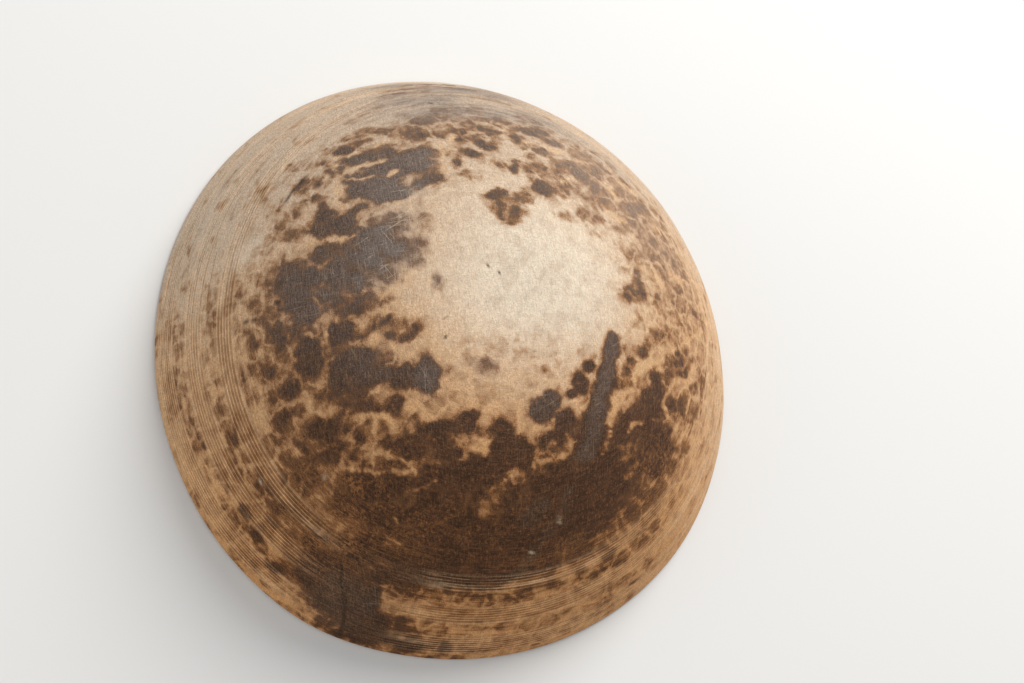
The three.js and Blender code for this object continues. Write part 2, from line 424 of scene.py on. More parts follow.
# Small light scars and dark pits: (x, y, radius). A scratch is a chain and a half width.
SCARS = (
    (153, 29, 1.3), (156, 28, 1.2), (177, 8, 1.2), (105, -186, 1.6), (107, -135, 1.2),
)
PITS = (
    (-118, -124, 2.6), (-114, -128, 2.0), (-183, -13, 1.6), (-13, -183, 2.6), (-12, -176, 2.0),
    (-20, -157, 1.7), (12, -44, 1.2), (25, -45, 0.9), (-22, -8, 1.0), (-17, -1, 0.9),
)
SCRATCH_LINES = (
    (((-112, -131), (-106, -137), (-100, -143)), 1.1),
)
# The knot's check is as dark as this much of a pit.
CHECK_PIT = 0.5

# The layout is warped by noise: (pitch, mm, seed for x, seed for y).
CHART_WARP = ((17.0, 3.0, 41, 42), (7.5, 1.5, 43, 44))

# The wood's tone warms towards +X: its value at the middle, and the mm over which it gains 1.
WARM_MIDDLE = 0.40
WARM_RUN = 320

# Noises are read this far off the chart, in mm, so that they differ from one another.
FLECK_SHIFT = 900.0
VEIN_SHIFT = 300.0
INNER_CHART_SHIFT = 500.0
INNER_STREAK_SHIFT = 700.0

# Streaks are noise read on a ring this wide, which draws them out round the bowl.
STREAK_RADIUS = 38.0
# Fields of the lip, and of the sheets that have no markings.
LIP_STAIN = 0.3
LIP_INSIDE = 0.35
PLAIN_WARM = 0.6

# ------------------------------------------------------------------------ colours, linear albedo
GROUND_COOL = (0.58, 0.455, 0.340)
GROUND_MID = (0.70, 0.455, 0.255)
GROUND_WARM = (0.73, 0.400, 0.180)
CREAM = (0.83, 0.715, 0.565)
AMBER = (0.66, 0.330, 0.125)
VEIN_COLOUR = (0.67, 0.40, 0.185)
HALO_COOL = (0.38, 0.235, 0.135)
HALO_WARM = (0.43, 0.205, 0.082)
HALO_WORN = (0.44, 0.335, 0.245)
RIM_COOL = (0.265, 0.132, 0.058)
RIM_WARM = (0.310, 0.122, 0.036)
RIM_WORN = (0.205, 0.150, 0.118)
BROWN_COOL = (0.140, 0.082, 0.050)
BROWN_WARM = (0.135, 0.059, 0.024)
DARK_COOL = (0.076, 0.052, 0.041)
DARK_WARM = (0.055, 0.024, 0.0115)
DARK_WORN = (0.175, 0.138, 0.120)
KNOT_WORN = (0.100, 0.078, 0.054)
RUSSET = (0.150, 0.062, 0.026)
EMBER = (0.50, 0.215, 0.070)
RIDGE = (0.86, 0.575, 0.33)
# colour of the pale painted sheen over the stain that faces the light
PAINTED_SHEEN = (0.45, 0.325, 0.24)
# colour of the painted grey sheen over the far side
PAINTED_GREY_SHEEN = (0.195, 0.160, 0.138)
HATCH = (0.34, 0.28, 0.235)
NICK_COLOUR = (0.80, 0.68, 0.52)
SCAR_COLOUR = (0.56, 0.43, 0.29)
PIT_COLOUR = (0.03, 0.02, 0.014)
INSIDE_LIGHT = (0.30, 0.185, 0.10)
INSIDE_DARK = (0.13, 0.075, 0.04)
FLOOR_COLOUR = (0.80, 0.80, 0.79)

# Levels of the stain between which each tone comes in.
HALO_SPAN = (0.06, 0.38)
RIM_SPAN = (0.34, 0.50)
BROWN_SPAN = (0.49, 0.64)
CORE_SPAN = (0.60, 0.80)

# Fine light scratches: angles in radians, stretch of the noise along them, and its span.
NICK_ANGLES = (0.04, -0.45, 1.15, 1.60)
NICK_STRETCH = (0.022, 0.80, 1.0)
NICK_SPAN = (0.62, 0.70)

BARE_ROUGHNESS = 0.78
CORE_ROUGHNESS = 0.66
SPECULAR_LEVEL = 0.14
RELIEF_DEPTH = 0.0007
RELIEF_STRENGTH = 0.8
CELL_SMOOTHNESS = 0.35
FLOOR_ROUGHNESS = 0.9

# -------------------------------------------------------------------------- camera and lighting
CAMERA_PLACE = (0.267, -0.294, 0.990)
CAMERA_AIM = (-0.0075, 0.0485, 0.0)
CAMERA_ROLL = math.radians(44.5)
CAMERA_LENS = 49.2
SENSOR_WIDTH = 36.0
FLOOR_HALF = 60.0
# Round soft lamps: name, place, width in metres, watts and colour.
LAMPS = (
    ("key", (-1.8, 1.6, 1.9), 1.9, 92.0, (1.0, 0.985, 0.96)),
    ("fill", (0.2, -2.4, 1.3), 2.2, 11.0, (1.0, 0.98, 0.95)),
)
LAMP_AIM = (0.0, 0.0, 0.05)
SKY_STRENGTH = 0.47


def lattice_noise(points, pitch, seed):
    """Smooth noise from -1 to 1 at points (..., 3), with bumps about `pitch` apart."""
    size = 48
    values = np.random.default_rng(seed).uniform(-1, 1, (size, size, size))
    cell = points / pitch
    low = np.floor(cell).astype(int)
    share = cell - low
    share = share * share * (3 - 2 * share)
    total = np.zeros(points.shape[:-1])
    for corner in product((0, 1), repeat=3):
        weight = np.ones(points.shape[:-1])
        for axis, side in enumerate(corner):
            along = share[..., axis]
            weight = weight * (along if side else 1 - along)
        index = (low + np.array(corner)) % size
        total += weight * values[index[..., 0], index[..., 1], index[..., 2]]
    return total


def smoothstep(low, high, value):
    """0 below low, 1 above high, smooth between."""
    share = np.clip((value - low) / (high - low), 0, 1)
    return share * share * (3 - 2 * share)


def dome(foot_radius, foot_height, crown_radius, crown_height, lean, count):
    """Radius, height and outward normal of a dome's section, from its flat crown to its foot."""
    run = foot_radius - crown_radius
    drop = crown_height - foot_height
    slope = math.tan(lean) * drop / run
    end_cosine = slope / (1 - slope)
    radial_axis = run / math.sin(math.acos(end_cosine))
    vertical_axis = drop / (1 - end_cosine)
    angle = np.linspace(0, math.acos(end_cosine), count)
    radius = np.concatenate([[0.0], crown_radius + radial_axis * np.sin(angle)])
    height = np.concatenate([[crown_height], crown_height - vertical_axis * (1 - np.cos(angle))])
    normal_out = np.concatenate([[0.0], vertical_axis * np.sin(angle)])
    normal_up = np.concatenate([[1.0], radial_axis * np.cos(angle)])
    length = np.hypot(normal_out, normal_up)
    return radius, height, normal_out / length, normal_up / length


def arc_length(radius, height):
    """Distance along a section at each of its points."""
    return np.concatenate([[0.0], np.cumsum(np.hypot(np.diff(radius), np.diff(height)))])


OUTER = dome(RIM_RADIUS, LIP_RADIUS, BASE_RADIUS, HEIGHT, OUTER_LEAN, SECTION_POINTS)
OUTER_RUN = arc_length(OUTER[0], OUTER[1])
OUTER_LENGTH = OUTER_RUN[-1]
INNER = dome(
    RIM_RADIUS - RIM_THICKNESS, LIP_RADIUS, FLOOR_RADIUS, HEIGHT - BASE_THICKNESS,
    INNER_LEAN, SECTION_POINTS,
)
INNER_RUN = arc_length(INNER[0], INNER[1])


def columns():
    """Azimuths of the mesh columns, closer together near the knot."""
    fine = np.linspace(-math.pi, math.pi, 8001)
    away = np.angle(np.exp(1j * (fine - KNOT_GAP_CENTRE)))
    density = 1 + KNOT_COLUMN_GAIN * np.exp(-((away / KNOT_COLUMN_REACH) ** 2))
    total = np.concatenate([[0.0], np.cumsum((density[1:] + density[:-1]) / 2)])
    return np.interp(np.arange(COLUMNS) / COLUMNS, total / total[-1], fine)


def band_span(band):
    """Distances from the base's middle at which a band starts and ends."""
    low = band["first"] - LINE_PITCH / 2
    return low, low + band["lines"] * LINE_PITCH


def outer_rows():
    """Distances of the mesh rows from the base's middle, fine inside the scored bands."""
    rows = np.concatenate([POLE_ROWS, np.arange(POLE_ROWS[-1] + ROW_STEP, OUTER_LENGTH, ROW_STEP)])
    fine = []
    for band in BANDS:
        low, high = band_span(band)
        rows = rows[(rows < low - ROW_STEP / 3) | (rows > high + ROW_STEP / 3)]
        fine.append(np.arange(low, high + LINE_STEP / 2, LINE_STEP))
    rows = np.concatenate([rows[rows < OUTER_LENGTH - 1], *fine, [OUTER_LENGTH]])
    return np.unique(rows)


AZIMUTH = columns()


def band_strength(band):
    """How strongly a band is scored at each column, 0 to 1."""
    away = AZIMUTH - math.radians(band["peak"])
    level = 1 - BAND_FADE + BAND_FADE * np.cos(away)
    gap = np.angle(np.exp(1j * (AZIMUTH - KNOT_GAP_CENTRE))) / KNOT_GAP_WIDTH
    return level * (1 - KNOT_GAP_LOSS * np.exp(-(gap ** 4)))


def scored_lines(rows):
    """Depth of the scored lines (rows, columns), as a share of their full depth."""
    depth = np.zeros((len(rows), len(AZIMUTH)))
    ring = np.stack([np.cos(AZIMUTH), np.sin(AZIMUTH), 0 * AZIMUTH], -1)
    for number, band in enumerate(BANDS):
        strength = band_strength(band) * band["depth"]
        for line in range(band["lines"]):
            offset = (rows - band["first"]) / LINE_PITCH - line
            shape = np.where(abs(offset) < 0.5, 1 - abs(np.sin(math.pi * offset)) ** 3, 0)
            waver = sum(
                share * lattice_noise(ring, pitch, seed + 10 * number + line)
                for pitch, share, seed in LINE_WAVER
            )
            kept = np.clip(strength + LINE_WAVER_SHARE * waver, 0, DEEPEST_LINE)
            depth += shape[:, None] * kept[None, :]
    return depth


def ripple(rows):
    """How far each mesh row wanders towards the base at each column."""
    moved = np.zeros((len(rows), len(AZIMUTH)))
    for band in BANDS:
        middle = band["first"] + (band["lines"] - 1) * LINE_PITCH / 2
        reach = max(band["lines"] * LINE_PITCH, LEAST_RIPPLE_REACH)
        window = np.exp(-(((rows - middle) / reach) ** 2))
        wander = sum(
            size * np.cos(order * (AZIMUTH - math.radians(peak)))
            for order, size, peak in band["ripple"]
        )
        moved += window[:, None] * wander[None, :]
    return moved * smoothstep(0, RIPPLE_FREE_FOOT, OUTER_LENGTH - rows)[:, None]


def radial_factor():
    """The rim's outline as a multiple of its mean radius."""
    factor = 1 + OVALITY * np.cos(2 * AZIMUTH)
    for order, height, crest in RIM_LOBES:
        factor += height / RIM_RADIUS * np.cos(order * (AZIMUTH - math.radians(crest)))
    return factor


def rim_swell():
    """How far the rim stands proud at each column, in mm."""
    swell = np.zeros(len(AZIMUTH))
    for place, reach, height in RIM_SWELLS:
        away = np.angle(np.exp(1j * (AZIMUTH - math.radians(place)))) / math.radians(reach)
        swell += height * np.exp(-(away ** 2))
    return swell


def swell_at(radius):
    """The rim's swell where the wall has this radius."""
    return rim_swell() * (radius / RIM_RADIUS) ** SWELL_POWER


def ring_points(radius, height):
    """Points (rows, columns, 3) of a surface whose section is radius and height."""
    factor = radial_factor()
    return np.stack([
        radius * factor * np.cos(AZIMUTH),
        radius * factor * np.sin(AZIMUTH),
        height + 0 * radius * factor,
    ], -1)


def ring_normals(out, up):
    """Normals (rows, columns, 3) of such a surface, from its section's normal."""
    shape = np.broadcast_to(out, np.broadcast_shapes(out.shape, AZIMUTH.shape))
    return np.stack([shape * np.cos(AZIMUTH), shape * np.sin(AZIMUTH), up + 0 * shape], -1)


def carve(points, recipe):
    """Height of the hand-carved unevenness at the points."""
    return sum(height * lattice_noise(points, pitch, seed) for pitch, height, seed in recipe)


def chart_of(distance, azimuth):
    """Chart x and y of a place on the surface."""
    return distance * np.cos(azimuth), distance * np.sin(azimuth)


def near_chain(x, y, chain):
    """Distance from chart points to a chain of chart points."""
    best = np.full(x.shape, 1e9)
    for (ax, ay), (bx, by) in zip(chain[:-1], chain[1:]):
        dx, dy = bx - ax, by - ay
        share = np.clip(((x - ax) * dx + (y - ay) * dy) / (dx * dx + dy * dy), 0, 1)
        best = np.minimum(best, np.hypot(x - ax - share * dx, y - ay - share * dy))
    return best


def patch_cover(x, y, patches, level):
    """1 outside every patch, falling to 1 - level inside one."""
    clear = np.ones(x.shape)
    for px, py, reach_y, reach_x in patches:
        away = np.hypot((x - px) / reach_x, (y - py) / reach_y)
        clear *= 1 - level / (1 + away ** PATCH_EDGE)
    return clear


def area_cover(x, y, areas):
    """Like patch_cover, for soft areas that carry a level each."""
    clear = np.ones(x.shape)
    for ax, ay, reach_y, reach_x, level in areas:
        away = np.hypot((x - ax) / reach_x, (y - ay) / reach_y)
        clear *= 1 - level / (1 + away ** AREA_EDGE)
    return clear


def check_mark(x, y):
    """How deep in the knot's check a chart point lies, 0 to 1."""
    wander = sum(size * np.sin(x / run) for size, run in CHECK_WANDER)
    return np.exp(-((near_chain(x, y + wander, (CHECK_START, CHECK_END)) / CHECK_WIDTH) ** 2))


def knot_shape(x, y):
    """Depth of the knot and of its check at chart points."""
    away = np.hypot(x - KNOT_PLACE[0], y - KNOT_PLACE[1]) / KNOT_REACH
    return KNOT_DEPTH * np.exp(-(away ** 3)) + CHECK_DEPTH * check_mark(x, y)


def spot_field(x, y, spots):
    """1 in the middle of a spot, 0 away from all of them."""
    field = np.zeros(x.shape)
    for px, py, radius in spots:
        field = np.maximum(field, np.exp(-((np.hypot(x - px, y - py) / radius) ** 4)))
    return field


def chain_field(x, y, chains):
    """1 on a chain, 0 away from all of them."""
    field = np.zeros(x.shape)
    for chain, width in chains:
        field = np.maximum(field, np.exp(-((near_chain(x, y, chain) / width) ** 2)))
    return field


def stain_clear(x, y, wx, wy, flat):
    """1 where the wood is unstained, falling to 0; wx and wy are the warped chart."""
    clear = patch_cover(wx, wy, DARK_PATCHES, DARK_LEVEL)
    clear *= patch_cover(wx, wy, BROWN_PATCHES, BROWN_LEVEL)
    clear *= patch_cover(wx, wy, FAINT_PATCHES, FAINT_LEVEL)
    clear *= area_cover(wx, wy, BROWN_AREAS)
    for chain, width, level in SMEARS:
        clear *= 1 - level / (1 + (near_chain(wx, wy, chain) / width) ** SMEAR_EDGE)
    ring = smoothstep(*RING_TONE_SPAN, np.hypot(x, y))
    ring *= (0.5 + 0.5 * np.cos(np.arctan2(y, x) - RING_TONE_PLACE)) ** 2
    clear *= 1 - RING_TONE * ring
    flecks = smoothstep(*FLECK_SPAN, lattice_noise(flat + FLECK_SHIFT, FLECK_PITCH, FLECK_SEED))
    away_x = (x - FLECK_FREE_PLACE[0]) / FLECK_FREE_REACH[0]
    away_y = (y - FLECK_FREE_PLACE[1]) / FLECK_FREE_REACH[1]
    return clear * (1 - FLECK_LEVEL * flecks * (1 - np.exp(-(away_x ** 4 + away_y ** 4))))


def stain_fields(x, y):
    """Named fields of the outside's markings, and of its painted sheens, at chart points."""
    flat = np.stack([x, y, 0 * x], -1)
    wx, wy = x.copy(), y.copy()
    for pitch, size, seed_x, seed_y in CHART_WARP:
        wx += size * lattice_noise(flat, pitch, seed_x)
        wy += size * lattice_noise(flat, pitch, seed_y)
    clear = stain_clear(x, y, wx, wy, flat)
    gaps = lattice_noise(flat + VEIN_SHIFT, VEIN_GAP_PITCH, VEIN_GAP_SEED)
    vein = chain_field(wx, wy, VEINS) * (0.5 + 0.5 * smoothstep(*VEIN_GAP_SPAN, gaps))
    away = np.hypot((x - PALE_PLACE[0]) / PALE_REACH[0], (y - PALE_PLACE[1]) / PALE_REACH[1])
    # pale where the middle is rubbed, and painted sheen in the spots near the rim
    clear_of_rub_and_sheen = (1 - np.exp(-(away ** PALE_EDGE))) * area_cover(x, y, PALE_AND_SHEEN_AREAS)
    unworn = area_cover(wx, wy, WORN_AREAS)
    for chain, width, level in WORN_STREAKS:
        unworn *= 1 - level * np.exp(-((near_chain(wx, wy, chain) / width) ** 4))
    kept = area_cover(wx, wy, PALED_AREAS)
    return {
        "stain": (1 - clear) * (1 - VEIN_STRENGTH * vein) * kept,
        "vein": vein,
        "pale": 1 - clear_of_rub_and_sheen,
        "warm": np.clip(WARM_MIDDLE + x / WARM_RUN, 0, 1),
        "worn": 1 - unworn,
        "ember": 1 - area_cover(wx, wy, EMBER_AREAS),
        # the painted grey sheen over the far side
        "film": 1 - area_cover(wx, wy, PAINTED_GREY_SHEEN_AREAS),
        # the pale painted sheen over the stain that faces the light
        "haze": 1 - area_cover(wx, wy, PAINTED_SHEEN_AREAS),
        "scar": spot_field(x, y, SCARS),
        "pit": np.maximum(spot_field(x, y, PITS), chain_field(x, y, SCRATCH_LINES)),
    }


def outer_sheet():
    """Points, and named fields, of the outside from the base's middle to the foot."""
    rows = outer_rows()
    distance = np.clip(rows[:, None] - ripple(rows), 0, OUTER_LENGTH)
    radius, height, out, up = (np.interp(distance, OUTER_RUN, line) for line in OUTER)
    points = ring_points(radius, height)
    normals = ring_normals(out, up)
    x, y = chart_of(distance, AZIMUTH)
    lines = scored_lines(rows)
    raised = carve(points, CARVING) - LINE_DEPTH * lines - knot_shape(x, y)
    raised += swell_at(radius)
    foot = smoothstep(0, OUTER_FOOT_FADE, OUTER_LENGTH - distance)
    raised = raised * foot + rim_swell() * (1 - foot)
    points = points + normals * raised[..., None]
    fields = stain_fields(x, y)
    fields["line"] = lines
    fields["band"] = np.clip(band_cover(rows), 0, 1)
    fields["pit"] = np.maximum(fields["pit"], CHECK_PIT * check_mark(x, y))
    fields["inside"] = np.zeros(x.shape)
    fields["chart"] = np.stack([x, y, 0 * x], -1)
    fields["streak"] = streak_places(distance)
    return points, fields


def band_cover(rows):
    """Where the wide bands lie (rows, columns), 0 to 1."""
    cover = np.zeros((len(rows), len(AZIMUTH)))
    for band in WIDE_BANDS:
        low, high = band_span(band)
        inside = smoothstep(low - BAND_EDGE, low + BAND_EDGE, rows)
        inside *= smoothstep(-high - BAND_EDGE, BAND_EDGE - high, -rows)
        cover += inside[:, None] * np.clip(band_strength(band), 0, 1)[None, :]
    return cover


def streak_places(distance):
    """Coordinates whose noise draws out into streaks that run round the bowl."""
    return np.stack([
        distance + 0 * AZIMUTH,
        STREAK_RADIUS * np.cos(AZIMUTH) + 0 * distance,
        STREAK_RADIUS * np.sin(AZIMUTH) + 0 * distance,
    ], -1)


def lip_section():
    """Radius and height of the lip's rows, from the outer foot to the inner one, without both."""
    turn = np.linspace(0, math.pi / 2, LIP_ROWS + 1)
    outer_centre = RIM_RADIUS - LIP_RADIUS
    inner_centre = RIM_RADIUS - RIM_THICKNESS + LIP_RADIUS
    radius = np.concatenate([
        outer_centre + LIP_RADIUS * np.cos(turn[1:]),
        inner_centre - LIP_RADIUS * np.sin(turn[:-1]),
    ])
    height = np.concatenate([
        LIP_RADIUS - LIP_RADIUS * np.sin(turn[1:]),
        LIP_RADIUS - LIP_RADIUS * np.cos(turn[:-1]),
    ])
    return radius, height


def blank_fields(shape):
    """The outside's fields, for a sheet that has none of its markings."""
    names = ("stain", "vein", "pale", "worn", "film", "haze", "ember", "scar", "pit")
    fields = {name: np.zeros(shape) for name in (*names, "line", "band")}
    fields["warm"] = np.full(shape, PLAIN_WARM)
    return fields


def lip_sheet():
    """The lip, between the two feet."""
    radius, height = lip_section()
    points = ring_points(radius[:, None], height[:, None])
    swell = rim_swell()
    points[..., 0] += swell * np.cos(AZIMUTH)
    points[..., 1] += swell * np.sin(AZIMUTH)
    points[..., 2] += np.clip(carve(points, LIP_WEAR), 0, 1) * (height[:, None] > 0.01)
    shape = points.shape[:2]
    distance = np.full(shape, OUTER_LENGTH) + np.arange(shape[0])[:, None]
    x, y = chart_of(distance, AZIMUTH)
    fields = blank_fields(shape)
    fields["stain"] += LIP_STAIN
    fields["inside"] = np.full(shape, LIP_INSIDE)
    fields["chart"] = np.stack([x, y, 0 * x], -1)
    fields["streak"] = streak_places(distance)
    return points, fields


def inner_sheet():
    """The hollow, from the inner foot to its middle."""
    total = INNER_RUN[-1]
    share = 1 - np.linspace(0, 1, INNER_ROWS) ** INNER_ROW_SPREAD
    distance = total * share[:, None] + 0 * AZIMUTH
    radius, height, out, up = (np.interp(distance, INNER_RUN, line) for line in INNER)
    points = ring_points(radius, height)
    normals = ring_normals(out, up)
    away_from_foot = smoothstep(0, INNER_FOOT_FADE, total - distance)
    raised = swell_at(radius) + carve(points, INNER_CARVING) * away_from_foot
    points = points + normals * raised[..., None]
    x, y = chart_of(distance, AZIMUTH)
    fields = blank_fields(x.shape)
    fields["inside"] = np.ones(x.shape)
    fields["chart"] = np.stack([x, y, 0 * x + INNER_CHART_SHIFT], -1)
    fields["streak"] = streak_places(distance + INNER_STREAK_SHIFT)
    return points, fields


def ring_faces(rows, count):
    """Quads between the rings, and a fan at each end, where a ring is a single point."""
    column = np.arange(count)
    following = np.roll(column, -1)
    faces = []
    top = 0
    bottom = 1 + (rows - 2) * count
    faces += [(top, 1 + a, 1 + b) for a, b in zip(column, following)]
    for row in range(rows - 3):
        high = 1 + row * count
        low = high + count
        faces += [(high + a, low + a, low + b, high + b) for a, b in zip(column, following)]
    last = bottom - count
    faces += [(last + a, bottom, last + b) for a, b in zip(column, following)]
    return [tuple(int(i) for i in face) for face in faces]


def joined(sheets, name=None):
    """One array over the sheets' rings, with the first and last rings cut to a single point."""
    rings = np.concatenate([s[0] if name is None else s[1][name] for s in sheets])
    width = rings.shape[1]
    flat = rings.reshape(-1, *rings.shape[2:])
    return np.concatenate([flat[:1], flat[width:-width], flat[-1:]]), len(rings)


def bowl_object(material):
    """The whole bowl as one mesh that carries its sheets' fields."""
    sheets = [outer_sheet(), lip_sheet(), inner_sheet()]
    points, rows = joined(sheets)
    mesh = bpy.data.meshes.new("wooden_bowl")
    mesh.from_pydata((points * MM).tolist(), [], ring_faces(rows, COLUMNS))
    for name in sheets[0][1]:
        values, _ = joined(sheets, name)
        if values.ndim == 2:
            attribute = mesh.attributes.new(name, "FLOAT_VECTOR", "POINT")
            attribute.data.foreach_set("vector", values.astype(np.float32).ravel())
        else:
            attribute = mesh.attributes.new(name, "FLOAT", "POINT")
            attribute.data.foreach_set("value", values.astype(np.float32))
    mesh.materials.append(material)
    mesh.polygons.foreach_set("use_smooth", np.ones(len(mesh.polygons), bool))
    mesh.update()
    mesh.validate()
    bowl = bpy.data.objects.new("wooden_bowl", mesh)
    bpy.context.scene.collection.objects.link(bowl)
    return bowl


# ------------------------------------------------------------------------------ material helpers
class Graph:
    """Builds a material's nodes. Sockets are passed about as values."""

    def __init__(self, name):
        self.material = bpy.data.materials.new(name)
        self.material.use_nodes = True
        self.tree = self.material.node_tree
        self.shader = self.tree.nodes["Principled BSDF"]

    def node(self, kind, **settings):
        made = self.tree.nodes.new(kind)
        for key, value in settings.items():
            setattr(made, key, value)
        return made

    def feed(self, socket, value):
        if isinstance(value, bpy.types.NodeSocket):
            self.tree.links.new(value, socket)
        elif isinstance(value, tuple) and socket.type == "RGBA":
            socket.default_value = (*value, 1.0)
        else:
            socket.default_value = value

    def feed_all(self, made, **values):
        """Feeds inputs by name, with the spaces in their names written as underscores."""
        for key, value in values.items():
            self.feed(made.inputs[key.replace("_", " ")], value)

    def field(self, name):
        return self.node("ShaderNodeAttribute", attribute_name=name).outputs["Fac"]

    def places(self, name):
        return self.node("ShaderNodeAttribute", attribute_name=name).outputs["Vector"]

    def chain(self, operation, first, others):
        for other in others:
            made = self.node("ShaderNodeMath", operation=operation)
            self.feed(made.inputs[0], first)
            self.feed(made.inputs[1], other)
            first = made.outputs["Value"]
        return first

    def add(self, first, *others):
        return self.chain("ADD", first, others)

    def times(self, first, *others):
        return self.chain("MULTIPLY", first, others)

    def most(self, first, *others):
        return self.chain("MAXIMUM", first, others)

    def less(self, value):
        """1 less the value."""
        return self.chain("SUBTRACT", 1.0, (value,))

    def without(self, value, share):
        """1 less a share of the value."""
        return self.less(self.times(value, share))

    def swing(self, value, size):
        """A value from 0 to 1 turned into a swing round zero."""
        return self.times(self.add(value, -0.5), size)

    def step(self, value, low, high, to_low=0.0, to_high=1.0):
        """A smooth step from to_low to to_high as the value runs from low to high."""
        made = self.node("ShaderNodeMapRange", interpolation_type="SMOOTHSTEP")
        self.feed_all(made, Value=value, From_Min=low, From_Max=high, To_Min=to_low, To_Max=to_high)
        return made.outputs["Result"]

    def mix(self, share, first, second):
        made = self.node("ShaderNodeMix", data_type="RGBA", blend_type="MIX")
        self.feed(made.inputs["Factor"], share)
        colours = [s for s in made.inputs if s.type == "RGBA"]
        self.feed(colours[0], first)
        self.feed(colours[1], second)
        return next(s for s in made.outputs if s.type == "RGBA")

    def layered(self, base, *layers):
        """The base colour with each (share, colour) laid over it in turn."""
        for share, colour in layers:
            base = self.mix(share, base, colour)
        return base

    def brightened(self, colour, factor):
        made = self.node("ShaderNodeHueSaturation")
        self.feed_all(made, Color=colour, Value=factor)
        return made.outputs["Color"]

    def scaled(self, vector, factors):
        made = self.node("ShaderNodeVectorMath", operation="MULTIPLY")
        self.feed(made.inputs[0], vector)
        self.feed(made.inputs[1], factors)
        return made.outputs["Vector"]

    def noise(self, vector, scale, detail, roughness=0.55, distortion=0.0):
        made = self.node("ShaderNodeTexNoise")
        self.feed_all(
            made, Vector=vector, Scale=scale, Detail=detail, Roughness=roughness,
            Distortion=distortion,
        )
        return made.outputs["Fac"]

    def cells(self, vector, scale, feature):
        made = self.node("ShaderNodeTexVoronoi", feature=feature)
        self.feed_all(made, Vector=vector, Scale=scale)
        if feature == "SMOOTH_F1":
            self.feed(made.inputs["Smoothness"], CELL_SMOOTHNESS)
        return made.outputs["Distance"]

    def grains(self, vector, scale):
        """An even random value, 0 to 1, for each small cell."""
        made = self.node("ShaderNodeTexVoronoi")
        self.feed_all(made, Vector=vector, Scale=scale)
        return self.first_part(made.outputs["Color"])

    def thin_lines(self, vector, angle):
        """Long fine lines at an angle to the chart's x, 0 to 1."""
        made = self.node("ShaderNodeVectorRotate", rotation_type="Z_AXIS")
        self.feed_all(made, Vector=vector, Angle=angle)
        wave = self.noise(self.scaled(made.outputs["Vector"], NICK_STRETCH), 1.0, 2.0)
        return self.step(wave, *NICK_SPAN)

    def first_part(self, vector):
        made = self.node("ShaderNodeSeparateXYZ")
        self.feed(made.inputs["Vector"], vector)
        return made.outputs["X"]

    def warped(self, vector, scale, size):
        """The vector moved by a noise from 0 to size in its first two parts."""
        made = self.node("ShaderNodeTexNoise")
        self.feed_all(made, Vector=vector, Scale=scale, Detail=3.0)
        shift = self.node("ShaderNodeVectorMath", operation="MULTIPLY_ADD")
        for socket, value in zip(shift.inputs, (made.outputs["Color"], (size, size, 0.0), vector)):
            self.feed(socket, value)
        return shift.outputs["Vector"]

    def bump(self, height, distance, strength):
        made = self.node("ShaderNodeBump")
        self.feed_all(made, Height=height, Distance=distance, Strength=strength)
        return made.outputs["Normal"]


# --------------------------------------------------------------------------------- the old wood
# Scales are bumps per mm. Spans and shares are set where each is used.
def wood_fields(g):
    """The mesh's fields as sockets."""
    names = ("stain", "vein", "pale", "warm", "worn", "ember", "film", "haze", "scar", "pit")
    fields = {name: g.field(name) for name in (*names, "line", "band", "inside")}
    return SimpleNamespace(chart=g.places("chart"), streak=g.places("streak"), **fields)


def wood_textures(g, f):
    """Noises, cells and scratches that the wood is drawn with."""
    t = SimpleNamespace()
    t.blobs = g.noise(f.chart, 0.085, 3.0, 0.5, 0.4)
    t.crumbs = g.noise(f.chart, 0.33, 4.0, 0.65)
    t.specks = g.noise(f.chart, 1.25, 2.0, 0.7)
    t.rounds = g.noise(f.streak, 0.22, 5.0, 0.66)
    t.fibres = g.noise(g.scaled(f.streak, (1.0, 0.3, 0.3)), 1.0, 3.0, 0.75)
    t.grain = g.noise(g.scaled(f.chart, (0.16, 1.0, 1.0)), 1.0, 4.0, 0.7)
    upright = g.scaled(f.chart, (0.5, 1.0, 1.0))
    t.grit = g.add(g.times(g.grains(f.chart, 1.7), 0.6), g.times(g.grains(upright, 1.3), 0.4))
    t.pores = g.step(g.noise(upright, 1.0, 2.0, 0.7), 0.66, 0.76, 0.0, 0.45)

    # colonies of stain, large and small, and the network between them
    wandering = g.warped(f.chart, 0.16, 9.0)
    t.lobes = g.cells(wandering, 0.085, "SMOOTH_F1")
    t.buds = g.cells(wandering, 0.21, "SMOOTH_F1")
    t.net = g.step(g.cells(wandering, 0.062, "DISTANCE_TO_EDGE"), 0.0, 0.16)

    # fine scratches that cross, and longer nicks
    t.down = g.noise(g.scaled(f.chart, (0.05, 1.0, 1.0)), 1.6, 2.0, 0.6)
    across = g.noise(g.scaled(f.chart, (1.0, 0.06, 1.0)), 1.6, 2.0, 0.6)
    t.hatch = g.most(g.step(t.down, 0.50, 0.66), g.step(across, 0.52, 0.68))
    t.nicks = g.most(*(g.thin_lines(f.chart, angle) for angle in NICK_ANGLES))

    # 0 over the base's side, 1 over the part that the bands run round
    t.outer = g.step(g.first_part(f.streak), 150.0, 200.0)
    return t


